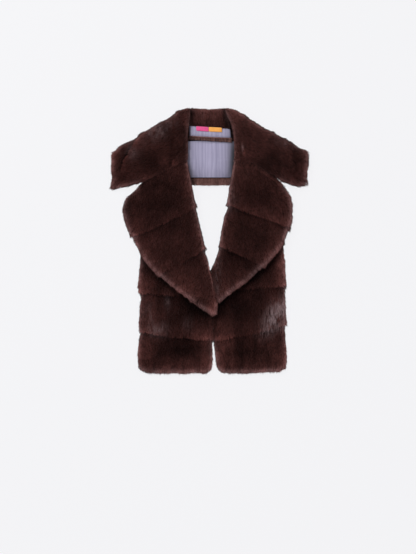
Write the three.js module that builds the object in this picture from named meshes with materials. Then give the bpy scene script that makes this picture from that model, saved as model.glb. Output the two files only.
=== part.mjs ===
// A fur collar wrap laid flat, face up: two fronts, two wide lapels, a notched collar
// turned round the shoulders, and a short back with its lining.
// Millimetres. +Z is up from the surface it lies on, +Y runs from the hems to the neck,
// and +X is the wearer's left. The surface is at z = 0.

import * as THREE from 'three';
import { mergeVertices } from 'three/addons/utils/BufferGeometryUtils.js';

// Thicknesses: a fur is pile and skin together.
const FUR = 12;
const HIDDEN_FUR = 7;
const FALL_FUR = 9;
const STAND_FUR = 10;
const LINING = 1.5;
const HEM_TURN = 3.2;
const NECK_BAND = 3.6;
const LABEL = 0.9;
const GAP = 0.3;
const CLEAR = 0.6;

// How a fur's edge rounds over, how far a pelt's lower edge stands up and flares out at the side,
// and how short its step is. A pelt rises fast at first and then levels off.
const ROUND_OVER = 9;
const ROUND_UNDER = 3;
const PELT_RISE = 3;
const RISE_POWER = 0.7;
const STEP_DOWN = 1.3;
const FLARE = 3;
const MOST_FLARE_SHARE = 0.2;

// The two faces of a wall meet this far up its thickness.
const MID_SHARE = 0.35;

// The rolled inner edges: how wide the turned stretch is, and how far the collar's dips.
const ROLL_WIDTH = 10;
const ROLL_WALL = 12;
const COLLAR_DIP = 6;
const COLLAR_DIP_WIDTH = 14;

// Past the fronts' sides the collar and lapels hang down to the surface.
const RIGHT_SIDE = -174;
const LEFT_SIDE = 181;
const SIDE_SLOPE = 0.42;

// A ramp in the stack keeps this far ahead of the one below, so that flat faces stay clear.
const LINING_AHEAD = 9;
const LAPEL_AHEAD = 16;

// Insets of the mesh lines beside an edge, the share of a strip that they may fill, and the
// mesh size in the open.
const EDGE_LINES = [0, 1.5, 5, 10];
const ROLL_LINES = [0, 1.5, 5, ROLL_WIDTH, ROLL_WALL];
const THIN_LINES = [0, 2];
const EDGE_SHARE = 0.42;
const BOTH_EDGES = 20;
const MESH = 26;
const FINE_MESH = 13;
const COARSE_MESH = 44;
const TURN_STEPS = 6;
const MERGED = 1e-3;

// The stack, along y: undersides of the back and of a front, and a front's thickness.
const STACK = [
  { y: 94, back: 0, front: 0, thick: FUR },
  { y: 118, back: 0, front: 11.2, thick: HIDDEN_FUR },
  { y: 140, back: 0, front: 11.2, thick: HIDDEN_FUR },
  { y: 156, back: 0, front: 16.6, thick: HIDDEN_FUR },
  { y: 168, back: 4.7, front: 19, thick: HIDDEN_FUR },
  { y: 180, back: 9.4, front: 19, thick: HIDDEN_FUR },
];

function read(table, key, column, at) {
  const last = table.length - 1;
  if (at <= table[0][key]) return table[0][column];
  if (at >= table[last][key]) return table[last][column];
  const next = table.findIndex((row) => row[key] > at);
  const low = table[next - 1];
  const high = table[next];
  const share = (at - low[key]) / (high[key] - low[key]);
  return THREE.MathUtils.lerp(low[column], high[column], share);
}

const backUnder = (y) => read(STACK, 'y', 'back', y);
const backOver = (y) => backUnder(y) + HIDDEN_FUR;
const liningUnder = (y) => backOver(y + LINING_AHEAD) + GAP;
const liningOver = (y) => liningUnder(y) + LINING;
const frontUnder = (y) => read(STACK, 'y', 'front', y);
const frontOver = (y) => frontUnder(y) + read(STACK, 'y', 'thick', y);

// Where the underside of a lapel or of the collar's upper layer lies.
function upperUnder(x, y) {
  const past = Math.max(0, x - LEFT_SIDE, RIGHT_SIDE - x);
  const below = Math.max(frontOver(y), frontOver(y + LAPEL_AHEAD));
  return Math.max(0, below + CLEAR - SIDE_SLOPE * past);
}

// How low a lapel's rolled edge reaches: near the surface, or onto the back's lining.
const ROLL_FLOOR = [
  { y: 90, floor: 1.5 },
  { y: 116, floor: 12 },
  { y: 140, floor: 12 },
  { y: 168, floor: 19.6 },
];
const rollFloor = (y) => read(ROLL_FLOOR, 'y', 'floor', y);

// 0 at both ends of a line and 1 at its middle.
const arch = (share) => 4 * share * (1 - share);

// A quarter round that starts at an edge and is full one radius in.
const crown = (distance, radius) => {
  const share = Math.min(1, distance / radius);
  return Math.sqrt(1 - (1 - share) ** 2);
};

// Fractions across a strip: close lines beside each edge, then even ones between.
function across(width, first, last, middle) {
  const room = EDGE_SHARE * width;
  const squeeze = (lines) => Math.min(1, room / lines[lines.length - 1]);
  const near = first.map((inset) => (inset * squeeze(first)) / width);
  const far = last.map((inset) => 1 - (inset * squeeze(last)) / width).reverse();
  const from = near[near.length - 1];
  const to = far[0];
  const open = [];
  for (let i = 1; i < middle; i += 1) open.push(from + ((to - from) * i) / middle);
  return [...near, ...open, ...far];
}

// A smooth edge through the rows' points; row numbers may be fractions.
function edge(rows, column) {
  const points = rows.map((row) => new THREE.Vector3(row[column][0], row[column][1], 0));
  const curve = new THREE.CatmullRomCurve3(points, false, 'centripetal');
  return (at) => curve.getPoint(at / (rows.length - 1));
}

// Where sections are cut along a piece: at its ends, in the open, and on both sides of a seam.
// lift says how far a pelt has risen towards its lower edge.
function stations(rows, sides, mesh, ends) {
  const long = (from, to) => Math.max(...sides.map((side) => side(from).distanceTo(side(to))));
  const last = rows.length - 1;
  const seams = rows.map((row, at) => (row.seam ? at : -1)).filter((at) => at > 0 && at < last);
  const breaks = [0, ...seams, last];
  const list = [];
  for (let band = 0; band + 1 < breaks.length; band += 1) {
    const from = breaks[band];
    const to = breaks[band + 1];
    const marks = [];
    for (let row = from; row < to; row += 1) {
      const length = long(row, row + 1);
      const steps = Math.max(1, Math.round(length / mesh));
      for (let i = 0; i < steps; i += 1) {
        const near = (inset) => Math.min(inset, length / 3) / length;
        if (i > 0) marks.push(row + i / steps);
        else if (row === 0) ends.forEach((inset) => marks.push(near(inset)));
        else marks.push(row === from ? row + near(STEP_DOWN) : row);
        if (i === steps - 1 && row + 1 === last) {
          [...ends].reverse().forEach((inset) => marks.push(last - near(inset)));
        } else if (i === steps - 1 && row + 1 === to) marks.push(to - near(STEP_DOWN));
      }
    }
    const sorted = [...new Set(marks)].sort((a, b) => a - b);
    sorted.forEach((at) => list.push({ at, lift: ((at - from) / (to - from)) ** RISE_POWER }));
  }
  return list;
}

function toBoundary(point, loop) {
  let least = Infinity;
  for (let i = 0; i < loop.length; i += 1) {
    const a = loop[i];
    const b = loop[(i + 1) % loop.length];
    const side = b.clone().sub(a);
    const share = point.clone().sub(a).dot(side) / Math.max(side.lengthSq(), MERGED ** 2);
    const foot = a.clone().addScaledVector(side, THREE.MathUtils.clamp(share, 0, 1));
    least = Math.min(least, foot.distanceTo(point));
  }
  return least;
}

// A closed wall over a grid of { flat, mid, over, under }. The two faces meet along the edge,
// and open out from it in a quarter round.
function closedWall(grid, over = ROUND_OVER, under = ROUND_UNDER) {
  const rows = grid.length;
  const wide = grid[0].length;
  const loop = [];
  for (let j = 0; j < wide; j += 1) loop.push(grid[0][j].flat);
  for (let i = 1; i < rows; i += 1) loop.push(grid[i][wide - 1].flat);
  for (let j = wide - 2; j >= 0; j -= 1) loop.push(grid[rows - 1][j].flat);
  for (let i = rows - 2; i > 0; i -= 1) loop.push(grid[i][0].flat);
  const corners = [];
  grid.flat().forEach((cell) => {
    const inside = toBoundary(cell.flat, loop);
    corners.push(cell.mid.clone().lerp(cell.over, crown(inside, over)));
    corners.push(cell.mid.clone().lerp(cell.under, crown(inside, under)));
  });
  const index = [];
  const upper = (i, j) => 2 * (i * wide + j);
  for (let i = 0; i + 1 < rows; i += 1) {
    for (let j = 0; j + 1 < wide; j += 1) {
      const quad = [upper(i, j), upper(i + 1, j), upper(i + 1, j + 1), upper(i, j + 1)];
      const [a, b, c, d] = quad;
      index.push(a, b, c, a, c, d);
      index.push(a + 1, c + 1, b + 1, a + 1, d + 1, c + 1);
    }
  }
  return outward(corners, index);
}

// Merges coincident corners, drops the triangles that close up, and turns the faces outwards.
function outward(corners, index) {
  const loose = new THREE.BufferGeometry();
  const numbers = corners.flatMap((corner) => corner.toArray());
  loose.setAttribute('position', new THREE.Float32BufferAttribute(numbers, 3));
  loose.setIndex(index);
  const merged = mergeVertices(loose, MERGED);
  const ids = merged.getIndex().array;
  const at = (id) => new THREE.Vector3().fromBufferAttribute(merged.getAttribute('position'), id);
  const kept = [];
  let volume = 0;
  for (let i = 0; i < ids.length; i += 3) {
    const [a, b, c] = [ids[i], ids[i + 1], ids[i + 2]];
    if (a !== b && b !== c && c !== a) {
      kept.push([a, b, c]);
      volume += at(a).dot(at(b).cross(at(c)));
    }
  }
  merged.setIndex(kept.flatMap(([a, b, c]) => (volume > 0 ? [a, b, c] : [a, c, b])));
  merged.computeVertexNormals();
  return merged;
}

// A panel between two edges. Each row is { left, right } with an optional seam and bow;
// faces(x, y, cell) gives its under and over heights, and flare names a side where the bands
// of pelts stand out.
function panel(rows, faces, { first = EDGE_LINES, last = EDGE_LINES, mesh = MESH, columns = MESH,
  ends = EDGE_LINES, round = ROUND_OVER, roundUnder = ROUND_UNDER, flare = '' } = {}) {
  const left = edge(rows, 'left');
  const right = edge(rows, 'right');
  const widest = Math.max(...rows.map((row, at) => left(at).distanceTo(right(at))));
  const middle = Math.max(2, Math.round((widest - BOTH_EDGES) / columns));
  const bows = rows.map((row, number) => ({ number, bow: row.bow ?? 0 }));
  const grid = stations(rows, [left, right], mesh, ends).map(({ at, lift }) => {
    const from = left(at);
    const to = right(at);
    const along = to.clone().sub(from).normalize();
    const inset = Math.min(FLARE * (1 - lift ** 2), MOST_FLARE_SHARE * from.distanceTo(to));
    if (flare === 'left') from.addScaledVector(along, inset);
    if (flare === 'right') to.addScaledVector(along, -inset);
    const width = from.distanceTo(to);
    const bow = read(bows, 'number', 'bow', at);
    const aside = new THREE.Vector3(-along.y, along.x, 0);
    return across(width, first, last, middle).map((share) => {
      const flat = from.clone().lerp(to, share).addScaledVector(aside, arch(share) * bow);
      const cell = { at, lift, fromLeft: share * width, fromRight: (1 - share) * width };
      const { under, over } = faces(flat.x, flat.y, cell);
      const height = (z) => new THREE.Vector3(flat.x, flat.y, z);
      const mid = height(THREE.MathUtils.lerp(under, over, MID_SHARE));
      return { flat, mid, under: height(under), over: height(over) };
    });
  });
  return closedWall(grid, round, roundUnder);
}

// A wing's fold runs along the shoulder; each row crosses it, from the front edge over the
// fold and back to the leaf's edge underneath. wrap is 1 where the leaf turns right under.
function foldedWall(rows, { thick, upper, rise = PELT_RISE, round = ROUND_OVER }) {
  const front = edge(rows, 'front');
  const fold = edge(rows, 'fold');
  const folds = rows.map(({ fold: [x, y], leaf, wrap }) => ({ x: Math.abs(x), y, leaf, wrap }));
  folds.sort((a, b) => a.x - b.x);
  const steps = (lengths) => Math.round((Math.max(...lengths) - BOTH_EDGES) / MESH);
  const middle = steps(rows.map((row) => row.fold[1] - row.front[1]));
  const under = steps(rows.map((row) => row.fold[1] - row.leaf));
  const lower = FALL_FUR * (1 - MID_SHARE);
  const crest = (thick * (1 - MID_SHARE) + lower) / 2;
  const bend = (x, y) => Math.max(0, upper(x, y) + MID_SHARE * thick - lower) / 2;
  const bows = rows.map((row, number) => ({ number, bow: row.bow ?? 0 }));
  const turning = (x) => {
    const side = Math.abs(x);
    const wrap = read(folds, 'x', 'wrap', side);
    const top = read(folds, 'x', 'y', side);
    const leaf = read(folds, 'x', 'leaf', side);
    const radius = bend(x, top - thick);
    return { wrap, radius, leaf, turnAt: top - (radius + crest) * wrap };
  };

  const place = (x, along, lift) => {
    const { radius, turnAt } = turning(x);
    const half = Math.PI * radius;
    const tall = thick + (lift - 1) * rise;
    let angle = 0;
    let y = turnAt - along;
    if (along < 0) {
      angle = Math.min(Math.PI, -along / Math.max(radius, MERGED));
      y = -along < half ? turnAt + radius * Math.sin(angle) : turnAt + along + half;
    }
    const turned = angle / Math.PI;
    const base = upper(x, Math.min(y, turnAt)) + MID_SHARE * thick;
    const z = along < 0 ? base - radius * (1 - Math.cos(angle)) : base;
    const up = new THREE.Vector3(0, Math.sin(angle), Math.cos(angle));
    const mid = new THREE.Vector3(x, y, z);
    const outside = THREE.MathUtils.lerp(tall - MID_SHARE * thick, lower, turned);
    const inside = THREE.MathUtils.lerp(MID_SHARE * thick, FALL_FUR * MID_SHARE, turned);
    return {
      flat: new THREE.Vector3(x, along, 0),
      mid,
      over: mid.clone().addScaledVector(up, outside),
      under: mid.clone().addScaledVector(up, -inside),
    };
  };

  const grid = stations(rows, [front, fold], MESH, EDGE_LINES).map(({ at, lift }) => {
    const start = front(at);
    const { x } = fold(at);
    const { wrap, radius, turnAt, leaf } = turning(x);
    const length = turning(start.x).turnAt - start.y;
    const bow = read(bows, 'number', 'bow', at);
    const cells = across(length, EDGE_LINES, [0], middle).map((share) => {
      const along = THREE.MathUtils.lerp(start.x, x, share) + arch(share) * bow;
      return place(along, length * (1 - share), lift);
    });
    const turn = Math.PI * radius * wrap;
    for (let i = 1; i <= TURN_STEPS; i += 1) {
      const turned = i / TURN_STEPS;
      cells.push(place(x, -turn * turned, lift * (1 - turned)));
    }
    const back = Math.max(0, turnAt - leaf) * wrap;
    const lines = across(Math.max(back, 1), [0], EDGE_LINES, under).slice(1);
    lines.forEach((share) => cells.push(place(x, -turn - back * share, 0)));
    return cells;
  });
  return closedWall(grid, round);
}

const fur = (color) => new THREE.MeshStandardMaterial({ color, roughness: 0.9, metalness: 0 });
const cloth = (color, roughness) => new THREE.MeshStandardMaterial({ color, roughness, metalness: 0 });

const wrapGroup = new THREE.Group();
wrapGroup.name = 'fur_collar_wrap';

function add(name, geometry, material) {
  const mesh = new THREE.Mesh(geometry, material);
  mesh.name = name;
  wrapGroup.add(mesh);
}

// Fronts, from the shoulder to the hem. seam marks the lower edge of a band of pelts.
const RIGHT_FRONT = [
  { left: [-158, 231], right: [-68, 286] },
  { left: [-164, 132], right: [-66, 192] },
  { left: [-168, 24], right: [-47, 82] },
  { left: [-170, -27], right: [-25, -25], seam: true },
  { left: [-170, -86], right: [1, -92] },
  { left: [-173, -128], right: [7, -136], seam: true },
  { left: [-171, -180], right: [7.5, -186] },
  { left: [-173, -226], right: [7.5, -243], seam: true },
  { left: [-174, -276], right: [7, -278] },
  { left: [-172, -302], right: [6, -303] },
  { left: [-165, -313], right: [2, -313] },
  { left: [-149, -319], right: [-8, -319] },
];
const LEFT_FRONT = [
  { left: [76, 286], right: [162, 231] },
  { left: [76, 190], right: [168, 132] },
  { left: [56, 84], right: [175, 24] },
  { left: [36, -22], right: [181, -9], seam: true },
  { left: [23, -90], right: [183.5, -70] },
  { left: [11, -124], right: [185.5, -115], seam: true },
  { left: [10, -184], right: [184, -170] },
  { left: [10, -242], right: [186, -214], seam: true },
  { left: [13, -278], right: [186.5, -278] },
  { left: [15, -303], right: [186, -302] },
  { left: [21, -313], right: [179, -312] },
  { left: [35, -319], right: [163, -318] },
];
const HIDDEN_FROM = 20;
const HIDDEN_TO = 90;
const frontFaces = (x, y, { lift }) => {
  const hidden = THREE.MathUtils.smoothstep(y, HIDDEN_FROM, HIDDEN_TO);
  const rise = PELT_RISE * lift * (1 - hidden);
  const under = frontUnder(y);
  return { under, over: frontOver(y) - (1 - hidden) * PELT_RISE + rise };
};

// Lapels, from the gorge to the point. roll is 1 where the inner edge turns right round.
const RIGHT_LAPEL = [
  { left: [-204, 99], right: [-52, 189], bow: 8, roll: 1 },
  { left: [-212, 72], right: [-42, 140], bow: 2, roll: 1 },
  { left: [-190, 10], right: [-31.5, 81], bow: -7, roll: 1, seam: true },
  { left: [-171, -33], right: [-20, 28], bow: -2, roll: 1 },
  { left: [-121, -89], right: [-7.5, -23], bow: 3, roll: 1, seam: true },
  { left: [-69, -130], right: [6.5, -92], roll: 0 },
  { left: [-29, -160], right: [15, -134], roll: 0 },
  { left: [-1, -178], right: [21, -157], roll: 0 },
  { left: [9, -185], right: [17.5, -172], roll: 0 },
];
const LEFT_LAPEL = [
  { left: [58.5, 190], right: [199, 102], bow: 20, roll: 1 },
  { left: [48, 130], right: [203, 70], bow: 8, roll: 1 },
  { left: [41, 86], right: [196, 23], bow: -2, roll: 1, seam: true },
  { left: [30, 34], right: [179, -12], bow: -2, roll: 1 },
  { left: [22, -18], right: [131, -66], bow: 2, roll: 1, seam: true },
  { left: [10, -62], right: [98, -97], roll: 0.6 },
  { left: [9, -99], right: [59, -123], roll: 0 },
  { left: [16.5, -128], right: [38, -142], roll: 0 },
  { left: [20.5, -145], right: [25.5, -150], roll: 0 },
];
function lapelFaces(rows, rollSide, raise) {
  const rolls = rows.map((row, number) => ({ number, roll: row.roll }));
  const wall = (ROLL_WIDTH + ROLL_WALL) / 2;
  return (x, y, cell) => {
    const base = upperUnder(x, y);
    const turned = cell[rollSide] < wall ? read(rolls, 'number', 'roll', cell.at) : 0;
    const under = THREE.MathUtils.lerp(base, Math.min(base, rollFloor(y)), turned);
    return { under, over: base + FUR + raise(cell.at) + PELT_RISE * (cell.lift - 1) };
  };
}

// The collar's halves. front is on its front edge, fold on the shoulder, and leaf is the y of
// its outer edge underneath.
const RIGHT_COLLAR = [
  { front: [-50, 192], fold: [-50, 319], leaf: 192, wrap: 1 },
  { front: [-86, 176], fold: [-81, 312], leaf: 192, wrap: 1, seam: true },
  { front: [-122, 157.5], fold: [-118, 285], leaf: 190, wrap: 1 },
  { front: [-152, 141], fold: [-148, 265], leaf: 192, wrap: 1 },
  { front: [-186, 129], fold: [-163, 255], leaf: 195, wrap: 1 },
  { front: [-223, 122.5], fold: [-178, 245], leaf: 199, wrap: 1, seam: true },
  { front: [-233, 120], fold: [-208, 229], leaf: 210, wrap: 0.6 },
  { front: [-239, 127], fold: [-233, 214], leaf: 213, wrap: 0 },
];
const LEFT_COLLAR = [
  { front: [60, 194], fold: [41, 319], bow: 5, leaf: 192, wrap: 1 },
  { front: [80, 191.5], fold: [76, 311], leaf: 192, wrap: 1, seam: true },
  { front: [121, 176], fold: [112, 283], leaf: 190, wrap: 1 },
  { front: [155, 155], fold: [146, 262], leaf: 192, wrap: 1 },
  { front: [179, 134.5], fold: [166, 252], leaf: 195, wrap: 1 },
  { front: [212, 127.5], fold: [189, 239], leaf: 205, wrap: 0.9, seam: true },
  { front: [228, 129], fold: [212, 225], leaf: 212, wrap: 0.5 },
  { front: [239, 141], fold: [236, 213], leaf: 213, wrap: 0 },
];
const collarUpper = (rollX) => (x, y) => {
  const inside = THREE.MathUtils.clamp((Math.abs(x) - rollX) / COLLAR_DIP_WIDTH, 0, 1);
  return upperUnder(x, y) - COLLAR_DIP * (1 - inside);
};

// The collar behind the neck: the stand above, the fall below.
const COLLAR_BACK = [
  { front: [-49.2, 272], fold: [-49.2, 316], leaf: 192, wrap: 1 },
  { front: [-6, 269], fold: [-6, 314], leaf: 194, wrap: 1 },
  { front: [52, 266], fold: [39.8, 316], leaf: 192, wrap: 1 },
];

add('right_front', panel(RIGHT_FRONT, frontFaces, { flare: 'left' }), fur(0x33201b));
add('left_front', panel(LEFT_FRONT, frontFaces, { flare: 'right' }), fur(0x33201b));

// The right lapel's point lies over the left one.
const POINT_RAISE = 1.5;
const CROSSING_ROWS = [4, 5.5];
const point = (at) => POINT_RAISE * THREE.MathUtils.smoothstep(at, ...CROSSING_ROWS);
const rightLapelFaces = lapelFaces(RIGHT_LAPEL, 'fromRight', point);
const leftLapelFaces = lapelFaces(LEFT_LAPEL, 'fromLeft', () => 0);
const rightRoll = { last: ROLL_LINES, flare: 'left' };
const leftRoll = { first: ROLL_LINES, flare: 'right' };
add('right_lapel', panel(RIGHT_LAPEL, rightLapelFaces, rightRoll), fur(0x3a241e));
add('left_lapel', panel(LEFT_LAPEL, leftLapelFaces, leftRoll), fur(0x3a241e));

const RIGHT_ROLL = 50;
const LEFT_ROLL = 52;
const standUpper = () => FALL_FUR + GAP;
const rightWing = { thick: FUR, upper: collarUpper(RIGHT_ROLL) };
const leftWing = { thick: FUR, upper: collarUpper(LEFT_ROLL) };
const stand = { thick: STAND_FUR, upper: standUpper, rise: 0, round: 4 };
add('right_collar', foldedWall(RIGHT_COLLAR, rightWing), fur(0x3f2822));
add('left_collar', foldedWall(LEFT_COLLAR, leftWing), fur(0x3f2822));
add('collar_back', foldedWall(COLLAR_BACK, stand), fur(0x35221d));

// The back and what is sewn on it. left is its edge towards the neck, right its hem.
const BACK = [
  { left: [-158, 224], right: [-153, 139] },
  { left: [-70, 276], right: [-92, 134] },
  { left: [-57, 238], right: [-48, 132] },
  { left: [2, 236], right: [2, 132] },
  { left: [64, 238], right: [57, 132] },
  { left: [78, 276], right: [94, 134] },
  { left: [160, 224], right: [155, 139] },
];
const LINING_ROWS = [
  { left: [-146, 222], right: [-142, 149.5] },
  { left: [-57, 234], right: [-48, 149.5] },
  { left: [64, 234], right: [57, 149.5] },
  { left: [150, 222], right: [146, 149.5] },
];
const HEM_ROWS = [
  { left: [-142, 148.5], right: [-142, 136] },
  { left: [-48, 148.5], right: [-48, 131.5] },
  { left: [57, 148.5], right: [57, 131.5] },
  { left: [146, 148.5], right: [146, 136] },
];
const sheet = (under, thick) => (x, y) => ({ under: under(y), over: under(y) + thick });
const longWay = { mesh: COARSE_MESH, columns: FINE_MESH };
const thin = { first: THIN_LINES, last: THIN_LINES, ends: THIN_LINES, round: 0.7, roundUnder: 0.5 };
const hemFaces = sheet(() => HIDDEN_FUR + GAP, HEM_TURN);
const lining = () => cloth(0x8f8aa8, 0.45);
add('back', panel(BACK, sheet(backUnder, HIDDEN_FUR), { ...longWay, round: 4 }), fur(0x33201b));
add('back_lining', panel(LINING_ROWS, sheet(liningUnder, LINING), { ...thin, ...longWay }), lining());
add('back_hem', panel(HEM_ROWS, hemFaces, { ...thin, round: 3 }), fur(0x3a241e));

// The neck band covers the seam of back and collar; above it are the stand's lining and label.
const BAND_ROWS = [
  { left: [-48.5, 250.5], right: [-48.5, 240] },
  { left: [3, 247], right: [3, 236.5] },
  { left: [54.5, 245], right: [55.5, 233] },
];
const STAND_ROWS = [
  { left: [-48.5, 271.2], right: [-48.5, 241.5] },
  { left: [3, 268.4], right: [3, 239] },
  { left: [51.6, 265.2], right: [54.5, 239] },
];
const NECK_LINE = 238;
const STAND_OVER = liningOver(NECK_LINE);
const standUnder = FALL_FUR + GAP;
const bandUnder = () => STAND_OVER + GAP;
const standFaces = sheet(() => standUnder, STAND_OVER - standUnder);
const shortWay = { ...thin, mesh: 20 };
add('neck_band', panel(BAND_ROWS, sheet(bandUnder, NECK_BAND), { ...shortWay, round: 3 }), fur(0x5b3c33));
add('stand_lining', panel(STAND_ROWS, standFaces, shortWay), lining());

// The woven label is two short ribbons, end to end.
const LABEL_TOP = [270.2, 268.2, 266.8];
const LABEL_X = [-31.5, -1.4, 30.5];
const LABEL_DEEP = 11;
function ribbon(from) {
  const end = (at, aside) => ({
    left: [LABEL_X[at] + aside, LABEL_TOP[at]],
    right: [LABEL_X[at] + aside, LABEL_TOP[at] - LABEL_DEEP],
  });
  return [end(from, GAP / 2), end(from + 1, -GAP / 2)];
}
const labelFaces = sheet(bandUnder, LABEL);
const flatRibbon = { ...thin, round: 0.4, mesh: COARSE_MESH };
add('label_pink', panel(ribbon(0), labelFaces, flatRibbon), cloth(0xd6367e, 0.55));
add('label_orange', panel(ribbon(1), labelFaces, flatRibbon), cloth(0xf0872c, 0.55));

// The origin is the middle of the outline's box, on the surface.
const outline = new THREE.Box3().setFromObject(wrapGroup);
const middle = outline.getCenter(new THREE.Vector3());
wrapGroup.position.set(-middle.x, -middle.y, -outline.min.z);

export default wrapGroup;
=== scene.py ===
# %% [markdown]
# A fur collar wrap, laid flat and face up. Two straight fronts lie on the surface, two wide
# lapels lie on them, and a notched collar is turned at the shoulders, with a short lined back
# behind the neck opening. This lesson dresses the plain solids of its pieces: every solid
# becomes a soft pelt, and hair is planted on the pelts strand by strand, combed the way the
# furrier laid the skins.

# %% Load the frame
import math

import bpy
import numpy as np
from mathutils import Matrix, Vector
from mathutils.bvhtree import BVHTree
from mathutils.kdtree import KDTree


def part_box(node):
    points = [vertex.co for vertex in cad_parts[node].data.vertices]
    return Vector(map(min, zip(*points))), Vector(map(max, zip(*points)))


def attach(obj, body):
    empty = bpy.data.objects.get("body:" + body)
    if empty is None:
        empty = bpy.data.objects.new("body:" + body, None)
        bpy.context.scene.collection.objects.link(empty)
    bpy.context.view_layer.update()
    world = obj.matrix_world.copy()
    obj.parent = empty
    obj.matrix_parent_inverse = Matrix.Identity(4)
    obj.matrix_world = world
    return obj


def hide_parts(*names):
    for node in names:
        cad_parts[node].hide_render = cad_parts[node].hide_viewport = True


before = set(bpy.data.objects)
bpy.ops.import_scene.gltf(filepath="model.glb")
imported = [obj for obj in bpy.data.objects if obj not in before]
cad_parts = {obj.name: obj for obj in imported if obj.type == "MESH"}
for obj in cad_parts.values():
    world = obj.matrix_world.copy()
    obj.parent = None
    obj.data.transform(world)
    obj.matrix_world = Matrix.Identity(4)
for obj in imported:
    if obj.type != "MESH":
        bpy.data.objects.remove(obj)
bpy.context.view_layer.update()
MM = 0.001
print("solids:", len(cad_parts))

# %% [markdown]
# The wrap was photographed from straight above, so the camera looks straight down. A long lens
# from far away keeps the outline true.

# %% Camera
AIM = Vector((-3.1, -87.4, 15)) * MM
DISTANCE = 3.69
LENS = 100
SENSOR = 36
SIGHT = 50
PICTURE_HEIGHT = 554

bpy.ops.object.camera_add(location=AIM + Vector((0, 0, DISTANCE)), rotation=(0, 0, 0))
camera = bpy.context.object
camera.data.lens = LENS
camera.data.sensor_width = SENSOR
camera.data.clip_end = SIGHT
bpy.context.scene.camera = camera
print("one pixel covers", round(DISTANCE * SENSOR / LENS / PICTURE_HEIGHT / MM, 2), "mm")

# %% [markdown]
# The surface below is so evenly lit that it takes no shadow. Lamps as strong as that would wash
# out the fur, so the floor gives off its own light, and one broad soft lamp on the upper left
# leaves the sheen on the hair. The floor lies just below the wrap, as two faces at one height
# would flicker.

# %% Floor, lamp and sky
FLOOR_SIZE = 12
FLOOR_GAP = 0.2 * MM
FLOOR_FINISH = {
    "Base Color": (0.05, 0.05, 0.051, 1),
    "Roughness": 0.9,
    "Specular IOR Level": 0,
    "Emission Color": (0.905, 0.905, 0.925, 1),
    "Emission Strength": 0.935,
}
SKY = 0.72
LAMP_PLACE = Vector((-1.5, 1.5, 2.1))
LAMP_SIZE = 1.4
LAMP_POWER = 62

bpy.ops.mesh.primitive_plane_add(size=FLOOR_SIZE, location=(0, 0, -FLOOR_GAP))
floor = bpy.context.object
floor.name = "floor"
floor_finish = bpy.data.materials.new("pale floor")
floor_finish.use_nodes = True
for socket, value in FLOOR_FINISH.items():
    floor_finish.node_tree.nodes["Principled BSDF"].inputs[socket].default_value = value
floor.data.materials.append(floor_finish)

bpy.ops.object.light_add(type="AREA", location=LAMP_PLACE)
lamp = bpy.context.object
lamp.data.shape = "DISK"
lamp.data.size = LAMP_SIZE
lamp.data.energy = LAMP_POWER
lamp.rotation_euler = (AIM - LAMP_PLACE).to_track_quat("-Z", "Y").to_euler()

sky = bpy.data.worlds.new("studio")
sky.use_nodes = True
sky.node_tree.nodes["Background"].inputs["Color"].default_value = (1, 1, 1, 1)
sky.node_tree.nodes["Background"].inputs["Strength"].default_value = SKY
bpy.context.scene.world = sky
bpy.context.scene.view_settings.view_transform = "Standard"
print("lamp of", LAMP_POWER, "watts, sky of", SKY)

# %% [markdown]
# A finish is written as arithmetic. Wire stands for what comes out of a socket, and a sum or a
# product of wires adds the Math node that works it out. Finish is one material: its node method
# adds any other node from its settings and inputs, and blend mixes two colours.

# %% The words for finishes
class Wire:
    """The number or colour that leaves a socket."""

    def __init__(self, finish, socket):
        self.finish = finish
        self.socket = socket

    def worked(self, operation, *values):
        inputs = dict(enumerate(values))
        return self.finish.node("ShaderNodeMath", inputs, operation=operation)

    def __add__(self, other):
        return self.worked("ADD", self, other)

    def __radd__(self, other):
        return self.worked("ADD", other, self)

    def __sub__(self, other):
        return self.worked("SUBTRACT", self, other)

    def __rsub__(self, other):
        return self.worked("SUBTRACT", other, self)

    def __mul__(self, other):
        return self.worked("MULTIPLY", self, other)

    def __rmul__(self, other):
        return self.worked("MULTIPLY", other, self)

    def sine(self):
        return self.worked("SINE", self)

    def clamped(self):
        return self.finish.node("ShaderNodeClamp", {"Value": self})


class Finish:
    """A material under construction; fixed are the shader's own values."""

    def __init__(self, name, fixed):
        self.material = bpy.data.materials.new(name)
        self.material.use_nodes = True
        self.tree = self.material.node_tree
        self.shader = self.tree.nodes["Principled BSDF"]
        for socket, value in fixed.items():
            self.shader.inputs[socket].default_value = value

    def put(self, socket, value):
        if isinstance(value, Wire):
            self.tree.links.new(value.socket, socket)
        else:
            socket.default_value = value

    def node(self, kind, inputs, out=0, **settings):
        made = self.tree.nodes.new(kind)
        for key, value in settings.items():
            setattr(made, key, value)
        for key, value in inputs.items():
            self.put(made.inputs[key], value)
        return Wire(self, made.outputs[out])

    def shade(self, socket, value):
        self.put(self.shader.inputs[socket], value)

    def blend(self, share, low, high):
        return self.node("ShaderNodeMix", {0: share, 6: low, 7: high}, 2, data_type="RGBA")

    def dimmed(self, colour, amount):
        inputs = {0: colour, "Scale": amount}
        return self.node("ShaderNodeVectorMath", inputs, 0, operation="SCALE")

    def mark(self, name):
        return self.node("ShaderNodeAttribute", {}, "Fac", attribute_name=name)

    def place(self):
        return self.node("ShaderNodeTexCoord", {}, "Object")

    def along(self, axis):
        return self.node("ShaderNodeSeparateXYZ", {0: self.place()}, "XYZ".index(axis))

    def stretched(self, scale):
        inputs = {"Vector": self.place(), "Scale": scale}
        return self.node("ShaderNodeMapping", inputs)

    def noise(self, vector, scale, detail=2.0):
        inputs = {"Vector": vector, "Scale": scale, "Detail": detail}
        return self.node("ShaderNodeTexNoise", inputs, "Fac")

    def bumps(self, height, deep):
        inputs = {"Height": height, "Distance": deep, "Strength": 1.0}
        self.shade("Normal", self.node("ShaderNodeBump", inputs))


print("finishes can be written")

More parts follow.
